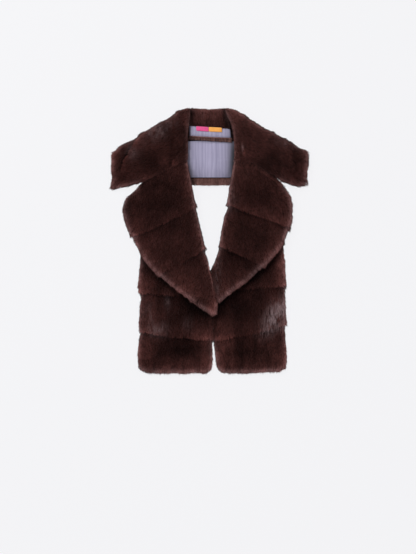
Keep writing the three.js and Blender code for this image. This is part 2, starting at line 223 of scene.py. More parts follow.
# %% [markdown]
# Mink is a deep brown underfur with longer guard hairs over it. A guard hair is nearly black
# near the skin and reddish brown at its tip, and here and there the light catches a bent lock
# and turns it silver; that sheen is painted into the hair's colour. Each strand carries three
# numbers for this: how far along the hair a point is, how bright that hair is, painted shade
# and painted rim light included, and how much painted silver sheen it has. The underfur is
# painted paler at the open sides, as light that gets in there. The turned edges at the neck
# band and the back's hem are sheared short, so the leather's pinkish brown comes through, and
# the same two finishes get its colours.

# %% Hair and underfur
HAIR_ROOT = (0.0065, 0.0022, 0.002, 1)
HAIR_TIP = (0.105, 0.0365, 0.032, 1)
SHEEN_SILVER = (0.40, 0.29, 0.30, 1)
HAIR_ROUGH = 0.55
SILVER_SMOOTHER = 0.12
BRIGHTEST = 8.0
UNDERFUR = (0.010, 0.0038, 0.0034, 1)
UNDERFUR_PALE = (0.026, 0.0098, 0.0085, 1)
SHEARED_ROOT = (0.05, 0.023, 0.020, 1)
SHEARED_TIP = (0.20, 0.10, 0.088, 1)
SHEARED_WOOL = (0.080, 0.038, 0.033, 1)
SHEARED_WOOL_PALE = (0.17, 0.085, 0.075, 1)
OPEN_SIDE_LIGHT = 3.0
WOOL_STREAKS = 900.0
WOOL_PATCHES = 26.0
WOOL_DEPTH = 0.6 * MM


def guard_hair(name, root, tip):
    """Strand finish; the attribute pelt holds tip share, brightness and painted silver sheen."""
    finish = Finish(name, {"Specular IOR Level": 0.07})
    marks = finish.node("ShaderNodeAttribute", {}, "Color", attribute_name="pelt")
    parts = [finish.node("ShaderNodeSeparateColor", {0: marks}, at) for at in range(3)]
    share, bright, silver = parts
    brown = finish.dimmed(finish.blend(share, root, tip), bright * BRIGHTEST)
    # painted sheen: the silver share mixes a pale grey into the hair's colour
    finish.shade("Base Color", finish.blend(silver * share, brown, SHEEN_SILVER))
    finish.shade("Roughness", HAIR_ROUGH - SILVER_SMOOTHER * silver)
    return finish.material


def underfur(name, dark, pale):
    """Dense short wool, streaked and patchy; painted light where the attribute open side is 1."""
    finish = Finish(name, {"Specular IOR Level": 0.06})
    streaks = finish.noise(finish.stretched((1, 0.35, 1)), WOOL_STREAKS, 3.0)
    patches = finish.noise(finish.place(), WOOL_PATCHES)
    wool = finish.blend((streaks * 0.7 + patches * 0.5).clamped(), dark, pale)
    # painted light: the wool is brightened as if lit where open side marks it
    paler = finish.mark("open side") * OPEN_SIDE_LIGHT + 1.0
    finish.shade("Base Color", finish.dimmed(wool, paler))
    finish.shade("Roughness", 0.7 + 0.15 * streaks)
    finish.bumps(streaks, WOOL_DEPTH)
    return finish.material


mink_hair = guard_hair("mink guard hair", HAIR_ROOT, HAIR_TIP)
mink_wool = underfur("mink underfur", UNDERFUR, UNDERFUR_PALE)
sheared_hair = guard_hair("sheared hair", SHEARED_ROOT, SHEARED_TIP)
sheared_wool = underfur("sheared wool", SHEARED_WOOL, SHEARED_WOOL_PALE)
print("finishes:", mink_hair.name, mink_wool.name, sheared_hair.name, sheared_wool.name)

# %% [markdown]
# The lining is a smooth lavender satin with fine woven stripes that run from neck to hem. The
# stripes are a sine of the place across the wrap, and a second, slower and less even one makes
# the soft streaks where the cloth has settled. The label is two plain ribbons, woven so
# coarsely that the crossing threads show.

# %% Lining and ribbons
TURN = 2 * math.pi
LINING_LIGHT = (0.37, 0.345, 0.475, 1)
LINING_DARK = (0.155, 0.145, 0.225, 1)
STRIPE_PITCH = 3.0 * MM
STREAK_PITCH = 8.0 * MM
STREAK_WANDER = 11.0
SATIN_DRIFT = 75.0
SATIN_DEPTH = 0.12 * MM
PINK = (0.78, 0.085, 0.27, 1)
PINK_DARK = (0.50, 0.045, 0.16, 1)
ORANGE = (0.90, 0.42, 0.085, 1)
ORANGE_DARK = (0.60, 0.23, 0.04, 1)
THREAD_PITCH = 0.9 * MM
RIBBON_WEAR = 240.0
WEAVE_DEPTH = 0.15 * MM


def satin(name):
    """Striped satin; the attribute shade dims it in the corners under the fur."""
    finish = Finish(name, {"Specular IOR Level": 0.3, "Sheen Weight": 0.1})
    across = finish.along("X")
    settled = finish.noise(finish.stretched((1, 0.12, 1)), SATIN_DRIFT)
    stripe = (across * (TURN / STRIPE_PITCH)).sine() * 0.5 + 0.5
    streak = (across * (TURN / STREAK_PITCH) + settled * STREAK_WANDER).sine() * 0.5 + 0.5
    share = (stripe * 0.28 + streak * 0.2 + settled * 0.68 - 0.05).clamped()
    cloth = finish.blend(share, LINING_DARK, LINING_LIGHT)
    finish.shade("Base Color", finish.dimmed(cloth, finish.mark("shade")))
    finish.shade("Roughness", 0.38 + 0.12 * stripe)
    finish.bumps(stripe * 0.6 + streak, SATIN_DEPTH)
    return finish.material


def ribbon(name, dark, light):
    """Woven ribbon, a little worn."""
    finish = Finish(name, {"Specular IOR Level": 0.3, "Sheen Weight": 0.2})
    warp = (finish.along("X") * (TURN / THREAD_PITCH)).sine()
    weft = (finish.along("Y") * (TURN / THREAD_PITCH)).sine()
    weave = warp * weft * 0.5 + 0.5
    wear = finish.noise(finish.place(), RIBBON_WEAR)
    share = (weave * 0.4 + wear * 0.7).clamped()
    finish.shade("Base Color", finish.blend(share, dark, light))
    finish.shade("Roughness", 0.5 + 0.15 * wear)
    finish.bumps(weave, WEAVE_DEPTH)
    return finish.material


lining_satin = satin("lavender satin")
pink_ribbon = ribbon("pink ribbon", PINK_DARK, PINK)
orange_ribbon = ribbon("orange ribbon", ORANGE_DARK, ORANGE)
print("finishes:", lining_satin.name, pink_ribbon.name, orange_ribbon.name)

# %% [markdown]
# A pelt is a soft wall with round edges. The solid already has its outline and its layers, so a
# copy of it is merged, turned back into four-sided faces and smoothed by subdivision. Shaping it
# further means moving its points, which these helpers read and write all at once.

# %% From a solid to a pelt
MERGED = 0.01 * MM
FLAT_ENOUGH = math.radians(60)


def only(piece):
    """Leaves one piece selected and active."""
    bpy.ops.object.select_all(action="DESELECT")
    piece.select_set(True)
    bpy.context.view_layer.objects.active = piece


def copied(node, name):
    piece = bpy.data.objects.new(name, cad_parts[node].data.copy())
    bpy.context.collection.objects.link(piece)
    piece.data.materials.clear()
    only(piece)
    bpy.ops.object.mode_set(mode="EDIT")
    bpy.ops.mesh.select_all(action="SELECT")
    bpy.ops.mesh.remove_doubles(threshold=MERGED)
    bpy.ops.mesh.tris_convert_to_quads(face_threshold=FLAT_ENOUGH, shape_threshold=FLAT_ENOUGH)
    bpy.ops.object.mode_set(mode="OBJECT")
    return piece


def smoothed(piece, levels, kind="CATMULL_CLARK"):
    only(piece)
    rounder = piece.modifiers.new("rounder", "SUBSURF")
    rounder.subdivision_type = kind
    rounder.levels = levels
    rounder.render_levels = levels
    bpy.ops.object.modifier_apply(modifier=rounder.name)
    bpy.ops.object.shade_smooth()


def places(mesh, kind="co"):
    found = np.empty(3 * len(mesh.vertices))
    mesh.vertices.foreach_get(kind, found)
    return found.reshape(-1, 3)


def normals(mesh):
    return places(mesh, "normal")


def move(mesh, found):
    mesh.vertices.foreach_set("co", found.ravel())
    mesh.update()


def marked(piece, name, values):
    """Gives each point its own number, which a finish can read by this name."""
    layer = piece.data.attributes.new(name, "FLOAT", "POINT")
    layer.data.foreach_set("value", values)


def unit(vectors):
    return vectors / np.maximum(np.linalg.norm(vectors, axis=1), 1e-9)[:, None]


def rising(values, low, high):
    """0 below low, 1 above high, and smooth between."""
    share = np.clip((values - low) / (high - low), 0, 1)
    return share * share * (3 - 2 * share)


print("pelts can be made")

# %% [markdown]
# Nothing on a fur is quite even. Soft noise is drawn from a small table of seeded random
# numbers, read smoothly between its entries, so that it is the same at each run.

# %% Soft noise
TABLE = 61


def drift(flat, size, seed):
    """Smooth random values from -1 to 1 over flat places, with bumps of about the given size."""
    table = np.random.default_rng(seed).uniform(-1, 1, (TABLE, TABLE))
    spot = flat[:, :2] / size
    cell = np.floor(spot).astype(int)
    part = rising(spot - cell, 0, 1)
    x0, y0 = (cell % TABLE).T
    x1, y1 = ((cell + 1) % TABLE).T
    low = table[x0, y0] * (1 - part[:, 0]) + table[x1, y0] * part[:, 0]
    high = table[x0, y1] * (1 - part[:, 0]) + table[x1, y1] * part[:, 0]
    return low * (1 - part[:, 1]) + high * part[:, 1]


print("noise from a table of", TABLE, "by", TABLE)

# %% [markdown]
# The skins have been folded and pressed, so each piece has its own soft troughs and ridges.
# They are listed: the middle of each, the way it runs, its length, its width and how
# deep it is, in millimetres and degrees. A ridge has a negative depth. The collar's creases run
# from the fold to the notch, the lapels' along the roll, and the fronts' up and down.

# %% Creases
def named(columns, table):
    """Names the numbers in each row of a table; a row may leave off the last columns."""
    if isinstance(table, dict):
        return {node: named(columns, rows) for node, rows in table.items()}
    if isinstance(table, list):
        return [named(columns, row) for row in table]
    return dict(zip(columns.split(), table))


CREASES = named("x y turn length width depth", {
    "right_front": [
        (-128, -186, 86, 70, 9, 1.9),
        (-82, -170, 97, 60, 11, -1.4),
        (-44, -196, 88, 52, 8, 1.5),
        (-104, -276, 93, 48, 10, 1.6),
        (-52, -284, 82, 44, 9, 1.2),
        (-150, -282, 88, 40, 8, -1.1),
        (-132, -96, 80, 46, 9, 1.3),
    ],
    "left_front": [
        (66, -180, 92, 66, 10, 1.8),
        (112, -166, 84, 58, 9, -1.3),
        (148, -190, 78, 54, 9, 1.9),
        (52, -282, 95, 46, 9, 1.3),
        (104, -276, 87, 50, 11, 1.6),
        (150, -284, 90, 42, 8, -1.0),
        (142, -92, 98, 48, 9, 1.5),
    ],
    "right_lapel": [
        (-140, 88, 62, 62, 10, 1.8),
        (-92, 104, 70, 70, 12, -1.5),
        (-104, 18, 58, 58, 10, 1.6),
        (-66, -6, 118, 52, 9, 1.5),
        (-44, -78, 128, 60, 10, -1.4),
        (-150, 36, 40, 40, 8, 1.2),
    ],
    "left_lapel": [
        (98, 122, 108, 66, 11, -1.5),
        (140, 84, 122, 60, 10, 1.8),
        (104, 22, 112, 56, 10, 1.5),
        (60, 44, 78, 60, 9, 1.4),
        (70, -62, 48, 58, 10, 1.5),
        (38, -98, 70, 40, 8, -1.1),
    ],
    "right_collar": [
        (-74, 246, 78, 60, 9, -1.6),
        (-104, 216, 64, 64, 10, 2.1),
        (-146, 196, 58, 58, 11, 1.6),
        (-168, 176, 48, 46, 9, -1.3),
        (-208, 170, 66, 52, 9, 1.6),
        (-60, 206, 86, 54, 8, 1.4),
    ],
    "left_collar": [
        (84, 250, 104, 62, 9, -1.6),
        (112, 214, 118, 62, 10, 2.0),
        (150, 190, 124, 56, 11, 1.6),
        (176, 172, 112, 44, 9, -1.2),
        (212, 168, 108, 48, 9, 1.5),
        (66, 212, 94, 56, 8, 1.4),
    ],
    "collar_back": [
        (-34, 290, 84, 26, 5, 1.3),
        (-8, 293, 92, 24, 6, 1.6),
        (16, 289, 98, 25, 5, -1.2),
        (36, 291, 106, 24, 5, 1.3),
    ],
})
CREASE_SWING = 0.18
CREASE_ENDS = 0.6
UNEVEN = 0.8 * MM
UNEVEN_SIZE = 38 * MM


def seen_from(row, flat):
    """How far each place lies along and beside a row's turned middle line, in mm."""
    turn = math.radians(row.get("turn", 0))
    offset = flat / MM - (row["x"], row["y"])
    along = offset @ (math.cos(turn), math.sin(turn))
    aside = offset @ (-math.sin(turn), math.cos(turn))
    return along, aside


def creased(piece, node):
    """Presses a piece's creases, and a faint unevenness, into its upper side."""
    found = places(piece.data)
    facing = rising(normals(piece.data)[:, 2], 0.25, 0.8)
    sunk = UNEVEN * drift(found, UNEVEN_SIZE, 11)
    for crease in CREASES.get(node, []):
        along, aside = seen_from(crease, found[:, :2])
        width = crease["width"]
        swing = CREASE_SWING * width * np.sin(along / width)
        profile = np.exp(-(((aside - swing) / width) ** 2))
        ends = np.exp(-((along / (CREASE_ENDS * crease["length"])) ** 4))
        sunk += crease["depth"] * MM * profile * ends
    found[:, 2] -= sunk * facing
    move(piece.data, found)


print("creases:", sum(len(rows) for rows in CREASES.values()))

# %% [markdown]
# Hair is combed one way on each piece: towards the hem on the fronts and the back, down and a
# little outwards on the lapels, and out along the collar's wings. Behind the neck it points up,
# so the top edge of the stand is soft. The nap is a flat direction.

# %% The nap
NAPS = {
    "right_front": (-0.05, -1),
    "left_front": (0.05, -1),
    "right_lapel": (-0.3, -1),
    "left_lapel": (0.3, -1),
    "right_collar": (-0.8, -0.6),
    "left_collar": (0.8, -0.6),
    "collar_back": (0.0, 1),
    "back": (0.0, -1),
    "back_hem": (0.0, -1),
    "neck_band": (0.0, -1),
}


def nap_of(node):
    nap = np.array([*NAPS[node], 0.0])
    return nap / np.linalg.norm(nap)


def with_nap(node, ways):
    """1 for each way that points along the nap, and -1 for one that points against it."""
    return (ways * nap_of(node)).sum(axis=1)


print("naps:", len(NAPS))

# %% [markdown]
# The skins are joined in bands. At each seam the upper band's hair falls over the lower band's
# roots, so the seam is a dark line of painted shadow with a slightly raised, paler lip above it.
# The seams are written as their two ends, how far the middle bows and how strong the line is.
# Each wavers a little and fades in places, as a fur's edge does, and a few are strong only round
# one place, their peak, given as a share of the length.

# %% Seams
WAVER = 2.2
WAVER_SIZE = 16 * MM
FADE_SIZE = 34 * MM
PEAK_SPREAD = 0.3
SEAMS = named("start end bow strength peak", {
    "right_front": [
        ((-170, -26), (-25, -24), 0, 0.7),
        ((-173, -126), (7, -138), -2, 1.5),
        ((-173, -219), (8, -241), -4, 1.2),
    ],
    "left_front": [
        ((36, -21), (181, -8), 0, 0.6),
        ((11, -123), (186, -108), -2, 0.9),
        ((10, -241), (186, -203), -5, 0.9),
    ],
    "right_lapel": [
        ((-190, 8), (-31, 80), -6, 1.2, 0.34),
        ((-122, -88), (-92, -68), 0, 0.5),
        ((-66, -56), (-7, -18), 0, 0.9),
    ],
    "left_lapel": [
        ((41, 84), (195, 29), -1, 1.0),
        ((22, -15), (131, -66), 2, 1.2, 0.3),
    ],
    "right_collar": [
        ((-87, 176), (-84, 250), 0, 0.25),
        ((-214, 166), (-171, 245), 6, 1.1),
    ],
    "left_collar": [
        ((216, 150), (189, 240), 0, 0.15),
    ],
})


def past_seams(node, flat):
    """For each seam, how far each place lies past it in mm, and how strong the seam is there."""
    rows = []
    for seam in SEAMS.get(node, []):
        start = np.array(seam["start"], float)
        run = np.array(seam["end"], float) - start
        length = np.linalg.norm(run)
        line = run / length
        across = np.array([-line[1], line[0]])
        share = ((flat / MM - start) @ line) / length
        bow = 4 * share * (1 - share) * seam["bow"]
        past = (flat / MM - start) @ across - bow
        if across @ nap_of(node)[:2] < 0:
            past = -past
        past += WAVER * drift(flat, WAVER_SIZE, 61)
        within = rising(share, -0.06, 0.02) * (1 - rising(share, 0.98, 1.06))
        fade = 0.8 + 0.4 * drift(flat, FADE_SIZE, 62)
        if "peak" in seam:
            fade *= 0.3 + 0.9 * np.exp(-(((share - seam["peak"]) / PEAK_SPREAD) ** 2))
        rows.append((past, seam["strength"] * within * fade))
    return rows


print("seams:", sum(len(rows) for rows in SEAMS.values()))

# %% [markdown]
# The hair needs room, so each pelt is drawn in by about 3 mm, and less on the side that the hair
# lies away from. Where two furs meet, as at the notch and behind the neck, it isn't drawn in, so
# no gap opens: rays sent out sideways from each point find the neighbour. The slit between the
# fronts is left out of this, because it stays open at the hem.

# %% Neighbours
SINK = 3.0 * MM
THIN_SINKS = {
    "collar_back": 2.4 * MM,
    "back": 1.8 * MM,
    "back_hem": 0.8 * MM,
    "neck_band": 0.8 * MM,
}
JOINED_SINK = 0.05
AGAINST_SINK = 0.45
NEIGHBOUR = 6 * MM
NEIGHBOUR_TILTS = (-0.6, 0.0, 0.6)
SIDE_TILT = 0.8
CLOSED_ABOVE = -0.240


def tree_of(*meshes):
    """The faces of some meshes, ready for rays."""
    points = []
    faces = []
    for mesh in meshes:
        start = len(points)
        points.extend(v.co.copy() for v in mesh.vertices)
        faces.extend([start + i for i in face.vertices] for face in mesh.polygons)
    return BVHTree.FromPolygons(points, faces)


solids = {node: tree_of(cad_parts[node].data) for node in NAPS}


def joined(node, found, turned):
    """1 for each point whose side faces another fur close by."""
    beside = np.zeros(len(found))
    others = [tree for name, tree in solids.items() if name != node]
    sides = (np.abs(turned[:, 2]) < SIDE_TILT) & (found[:, 1] > CLOSED_ABOVE)
    for at in np.flatnonzero(sides):
        level = Vector((turned[at, 0], turned[at, 1], 0)).normalized()
        start = Vector(found[at])
        for tilt in NEIGHBOUR_TILTS:
            look = level + Vector((0, 0, tilt))
            if any(tree.ray_cast(start, look, NEIGHBOUR)[0] is not None for tree in others):
                beside[at] = 1
    return beside


print("trees of solids:", len(solids))

# %% [markdown]
# The outline has small steps: just past a seam a band is a little narrower, and the lip before
# it stands out, a little lower where the hair hangs down. Trims then push a stretch of
# the outline out or draw it in, and each moves all the points near it the same way, so that the
# top and the bottom of an edge stay together.

# %% Steps and trims
STEP_IN = 2.6 * MM
STEP_LENGTH = 13
LIP_OUT = 1.0 * MM
LIP_LENGTH = 8
STEP_BOOST = 1.3
HANG = 4 * MM
TRIM_TILT = 0.6
TRIMS = named("x y size out", {
    "left_lapel": [
        (7, -75, 12, 8.0),
        (16, -60, 9, 2.0),
        (74, 192, 15, 4.0),
        (190, 20, 26, -4.0),
        (43, 78, 9, -3.5),
    ],
    "right_lapel": [
        (17, -170, 9, 2.5),
        (6, -186, 9, -4.0),
        (-163, 135, 10, 5.0),
        (-176, -20, 26, -3.0),
        (-12, -27, 8, -4.0),
    ],
    "right_collar": [
        (-50, 296, 20, 4.5),
        (-56, 318, 14, 4.0),
        (-86, 308, 11, -3.0),
        (-98, 299, 24, -4.5),
        (-158, 258, 9, 2.5),
        (-229, 219, 12, -4.0),
        (-239, 200, 15, 3.5),
        (-236, 144, 26, -4.0),
    ],
    "left_collar": [
        (46, 318, 14, 5.5),
        (76, 313, 11, -4.0),
        (95, 297, 14, -2.5),
        (122, 278, 16, -1.5),
        (148, 264, 6, 1.5),
        (214, 228, 13, -4.0),
        (239, 200, 14, 3.0),
        (237, 150, 18, -5.0),
        (234, 134, 7, 2.0),
        (51, 258, 26, -3.0),
        (66, 193, 20, 3.0),
    ],
    "collar_back": [
        (2, 318, 60, 2.0),
    ],
    "right_front": [
        (-170, -138, 20, -4.0),
        (-172, -220, 14, -4.0),
        (-174, -284, 30, 3.5),
        (-172, -86, 24, 2.5),
        (-90, -317, 80, 1.6),
        (8, -245, 12, 1.0),
        (8, -288, 24, 3.0),
    ],
    "left_front": [
        (186, -212, 12, -3.0),
        (186, -276, 36, 6.0),
        (182, -62, 40, 2.5),
        (185, -165, 32, 2.5),
        (184, -314, 9, -2.0),
        (150, -317, 30, -3.0),
        (100, -317, 80, 1.6),
        (10, -245, 12, 1.5),
        (10, -288, 26, -2.0),
    ],
})


def near(row, flat, size):
    """1 for a place in the middle of a row, falling to 0 around it, and how it lies from there."""
    apart = (flat / MM - (row["x"], row["y"])) / size
    return np.exp(-(apart**2).sum(axis=1))[:, None], apart


def stepped(node, found):
    """How much further the sides are drawn in past each seam, and stand out before it."""
    step = np.zeros(len(found))
    for past, strength in past_seams(node, found[:, :2] + nap_of(node)[:2] * HANG):
        after = (past >= 0) * np.exp(-past.clip(0) / STEP_LENGTH)
        before = (past < 0) * np.exp(past.clip(max=0) / LIP_LENGTH)
        step += (STEP_IN * after - LIP_OUT * before) * np.minimum(STEP_BOOST * strength, 1)
    return step


def trimmed(node, found, turned):
    """The level moves that the trims ask for."""
    moves = np.zeros_like(found)
    outward = unit(turned * (1, 1, 0)) * (np.abs(turned[:, 2]) < TRIM_TILT)[:, None]
    for trim in TRIMS.get(node, []):
        share = near(trim, found[:, :2], trim["size"])[0]
        way = unit((outward * share).sum(axis=0, keepdims=True))
        moves += trim["out"] * MM * share * way
    return moves


print("trims:", sum(len(rows) for rows in TRIMS.values()))

# %% [markdown]
# Now the pelts themselves. Their tops and sides are drawn in along the normals, but what faces
# down is only drawn in level, so that what rests on the surface still does. The open sides are
# marked for the wool's painted light, and what lies on the surface gets the lining of such a wrap.

# %% Pelts
LINED = ["right_front", "left_front", "back"]
SHEARED = ["back_hem", "neck_band"]
ON_THE_SURFACE = 2 * MM
FACING_DOWN = -0.9


def lined(piece):
    piece.data.materials.append(lining_satin)
    marked(piece, "shade", np.ones(len(piece.data.vertices)))
    for face in piece.data.polygons:
        if face.normal.z < FACING_DOWN and face.center.z < ON_THE_SURFACE:
            face.material_index = 1


def pelt_of(node):
    pelt = copied(node, node + "_pelt")
    smoothed(pelt, 2 if node in SHEARED else 1)
    creased(pelt, node)
    found = places(pelt.data)
    turned = normals(pelt.data)
    beside = joined(node, found, turned)
    against = (-with_nap(node, turned)).clip(0, 1)
    sink = THIN_SINKS.get(node, SINK)
    sink = sink * (1 - (1 - JOINED_SINK) * beside) * (1 - AGAINST_SINK * against)
    level = np.linalg.norm(turned[:, :2], axis=1)
    lower = turned[:, 2] < 0
    side = np.where(lower, rising(level, 0.3, 0.7), rising(level, 0.5, 0.95))
    upper = rising(turned[:, 2], -0.6, 0.1)
    sideways = side * (stepped(node, found) * (1 - beside) + sink * (1 - upper))
    inward = turned * (sink * upper)[:, None] + unit(turned * (1, 1, 0)) * sideways[:, None]
    move(pelt.data, found - inward + trimmed(node, found, turned))
    # painted light: open sides, most where they face against the nap, are marked to be lit
    marked(pelt, "open side", side * (1 - beside) * (0.4 + 0.6 * against))
    pelt.data.materials.append(sheared_wool if node in SHEARED else mink_wool)
    if node in LINED:
        lined(pelt)
    return pelt


pelts = {node: pelt_of(node) for node in NAPS}
print("pelts:", {node: len(pelt.data.polygons) for node, pelt in pelts.items()})

# %% [markdown]
# The thin turned edges are sheared in ribs, like fine corduroy, so they are cut finer and a
# short wave is pressed into them across their length.

# %% Ribs
RIB_PITCH = 5.0 * MM
RIB_DEPTH = 0.55 * MM


def ribbed(piece):
    only(piece)
    bpy.ops.object.mode_set(mode="EDIT")
    bpy.ops.mesh.select_all(action="SELECT")
    bpy.ops.mesh.subdivide(number_cuts=1)
    bpy.ops.object.mode_set(mode="OBJECT")
    found = places(piece.data)
    facing = rising(normals(piece.data)[:, 2], 0.0, 0.6)
    wave = np.sin(TURN * found[:, 0] / RIB_PITCH + 1.5 * drift(found, 30 * MM, 23))
    found[:, 2] += facing * wave * RIB_DEPTH
    move(piece.data, found)


for node in SHEARED:
    ribbed(pelts[node])
print("ribbed:", SHEARED)

# %% [markdown]
# Where the pile has been brushed against the light it catches a sheen, painted here as silver.
# The dark patches, nearly black in places, are partly the fur's own darker tone and partly
# painted shadow beside and under the layers above; the pale ones are partly warmer fur and partly
# painted rim light, as near the points of the lapels. These patches are soft ovals, placed where
# they show, a few of them on one piece only.

# %% Patches
PATCH = "x y wide tall amount turn only"
PAINTED_SHEEN_PATCHES = named(PATCH, [
    (-125, 260, 30, 17, 0.40, 32),
    (-92, 282, 14, 14, 0.15),
    (-184, 212, 15, 18, 0.22),
    (50, 96, 13, 22, 0.3),
    (80, 222, 1.8, 9, 0.5, 0, "left_collar"),
    (22, -62, 6, 30, 0.20),
    (18, -105, 7, 28, 0.2, 0, "left_lapel"),
    (4, -88, 36, 2.5, 0.3, -80, "right_lapel"),
    (0, 300, 40, 12, 0.06),
    (-127, -214, 22, 16, 0.32),
    (-100, -150, 8, 20, 0.14),
    (-144, -178, 13, 26, 0.14),
    (-52, -202, 10, 16, 0.16),
    (160, -182, 36, 19, 1.3, 58),
    (126, -226, 12, 10, 0.25),
    (177, 229, 20, 9, 0.14, -25),
    (180, -70, 10, 26, 0.12),
])
DARK_AND_SHADOW_PATCHES = named(PATCH, [
    (-112, 92, 44, 40, 0.4),
    (150, 190, 30, 28, 0.55),
    (124, 104, 40, 26, 0.38),
    (103, 16, 42, 26, 0.3),
    (86, -52, 22, 14, 0.5, -38),
    (-66, -264, 52, 22, 0.72),
    (94, -268, 44, 22, 0.45),
    (-148, 192, 30, 24, 0.5),
    (-44, -172, 52, 34, 0.6),
    (84, -162, 36, 42, 0.7),
    (124, -130, 20, 20, 0.25),
    (-40, 290, 7, 34, 0.6),
    (37, 296, 8, 24, 0.6),
    (44, 276, 8, 18, 0.6),
    (120, -84, 34, 26, 0.35),
    (141, 168, 36, 8, 0.25, -35, "left_collar"),
    (-128, 134, 24, 8, 0.35, 20, "right_lapel"),
    (-93, 186, 3, 9, 0.5),
    (76, 205, 3, 12, 0.5),
    (-140, 40, 24, 22, 0.3),
    (-206, 82, 10, 38, 0.35, 0, "right_lapel"),
])
PALE_AND_RIM_LIGHT_PATCHES = named(PATCH, [
    (8, -160, 11, 20, 1.3),
    (-56, -100, 34, 18, 0.45, -35),
    (-140, -94, 20, 24, 0.15, 0, "right_front"),
    (-234, 196, 12, 40, 0.8, -8),
    (236, 196, 12, 34, 0.5),
    (-2, 300, 40, 14, 0.5),
    (-56, 290, 6, 30, 0.7),
    (62, 300, 16, 26, 0.4),
    (-20, -236, 26, 14, 0.3),
    (34, -238, 24, 14, 0.3),
    (-110, 188, 9, 15, 0.5),
    (-150, 150, 16, 6, 0.8, 0, "right_collar"),
    (134, 158, 32, 4, 0.9, -35, "left_lapel"),
    (-86, 184, 2.5, 8, 1.5),
    (80, 222, 1.8, 10, 1.6, 0, "left_collar"),
    (84, 204, 1.8, 8, 1.6),
    (4, -88, 36, 2.8, 2.2, -80, "right_lapel"),
    (-84, 62, 34, 8, 0.4, 24),
    (120, 70, 50, 8, 0.3, -20),
])


def patched(node, flat, patches):
    total = np.zeros(len(flat))
    for patch in patches:
        along, aside = seen_from(patch, flat)
        oval = np.exp(-((along / patch["wide"]) ** 2) - (aside / patch["tall"]) ** 2)
        if patch.get("only", node) == node:
            total += patch["amount"] * oval
    return total


print("patches:", len(PAINTED_SHEEN_PATCHES) + len(DARK_AND_SHADOW_PATCHES) + len(PALE_AND_RIM_LIGHT_PATCHES))

# %% [markdown]
# Hair is planted only where it can be seen. All the pelts together make one tree of faces, and
# rays sent out from a place tell how much of its surroundings other layers cover. Rays sent low
# to all sides tell how close the layers above it stand, and so how much shade is painted there.

# %% What is covered
LOOK_UP = [(0, 0, 1), (0.6, 0, 0.8), (-0.6, 0, 0.8), (0, 0.6, 0.8), (0, -0.6, 0.8)]
LOOK_OUT = [(math.cos(turn), math.sin(turn), -0.15) for turn in np.radians(range(0, 360, 60))]
LOOK_ROUND = [
    (math.cos(turn), math.sin(turn), tilt)
    for turn, tilt in zip(np.radians(range(0, 360, 45)), (0.28, 0.7) * 4)
]
EYE_HEIGHT = 1.2 * MM
FAR = 0.5
CORNER = 55 * MM
UNDER_FACING = -0.35


layers = tree_of(*(pelt.data for pelt in pelts.values()))


def covered(place, normal, looks):
    """The share of the looks that another layer stops."""
    eye = Vector(place) + Vector(normal) * EYE_HEIGHT
    stopped = [layers.ray_cast(eye, Vector(look), FAR)[0] is not None for look in looks]
    return sum(stopped) / len(stopped)


def corner_shade_of(place, normal):
    """Painted corner shade: 0 in the open and up to 1 where other layers stand close on all sides.
    """
    eye = Vector(place) + Vector(normal) * EYE_HEIGHT
    near = 0
    for look in LOOK_ROUND:
        away = layers.ray_cast(eye, Vector(look), CORNER)[3]
        if away is not None:
            near += 1 - away / CORNER
    return near / len(LOOK_ROUND)


def open_faces(mesh):
    """True for each triangle that can be seen from above or from the sides."""
    mesh.calc_loop_triangles()
    seen = np.zeros(len(mesh.loop_triangles), bool)
    for at, triangle in enumerate(mesh.loop_triangles):
        looks = LOOK_OUT if triangle.normal.z < UNDER_FACING else LOOK_UP
        seen[at] = covered(triangle.center, triangle.normal, looks) < 1
    return seen


print("covered places can be told")

# %% [markdown]
# Planting: roots are spread evenly over the open triangles by their areas, and each root takes
# its triangle's place and normal. Faces that point down get a sparse coat, because the folded
# collar shows its underside from the side only, and none where they lie on the surface.

# %% Planting roots
UNDER_SHARE = 0.3
FLOOR_REACH = 4.5 * MM


def planted(mesh, per_mm2, seed):
    """The places and the normals of the roots."""
    seen = open_faces(mesh)
    corners = np.empty(3 * len(mesh.loop_triangles), int)
    mesh.loop_triangles.foreach_get("vertices", corners)
    points = places(mesh)[corners].reshape(-1, 3, 3)
    turned = normals(mesh)[corners].reshape(-1, 3, 3)
    cross = np.cross(points[:, 1] - points[:, 0], points[:, 2] - points[:, 0])
    area = np.linalg.norm(cross, axis=1) / 2
    under = cross[:, 2] < UNDER_FACING * 2 * area
    low = points[:, :, 2].mean(axis=1)
    total = np.cumsum(area * seen * np.where(under, UNDER_SHARE * (low > FLOOR_REACH), 1))
    count = int(total[-1] * per_mm2 / MM**2)
    chance = np.random.default_rng(seed)
    even = (np.arange(count) + chance.random(count)) * total[-1] / count
    picks = np.searchsorted(total, even).clip(0, len(total) - 1)
    first, second = chance.random((2, count))
    folded = first + second > 1
    first = np.where(folded, 1 - first, first)
    second = np.where(folded, 1 - second, second)
    shares = np.stack([1 - first - second, first, second], axis=1)[:, :, None]
    return (points[picks] * shares).sum(axis=1), unit((turned[picks] * shares).sum(axis=1))


print("roots can be planted")

# %% [markdown]
# At a fur's rim the light comes through the hair and turns it pale. So each root needs to know
# how far it is from its piece's open edge, and which way that edge faces. The edge is found on
# the pelt: its points whose normal is level, that no neighbour joins and no layer covers.

# %% Rims
RIM_LEVEL = 0.4
RIM_STEPS = 4


def tree_of_spots(spots):
    tree = KDTree(len(spots))
    for at, spot in enumerate(spots):
        tree.insert(spot, at)
    tree.balance()
    return tree


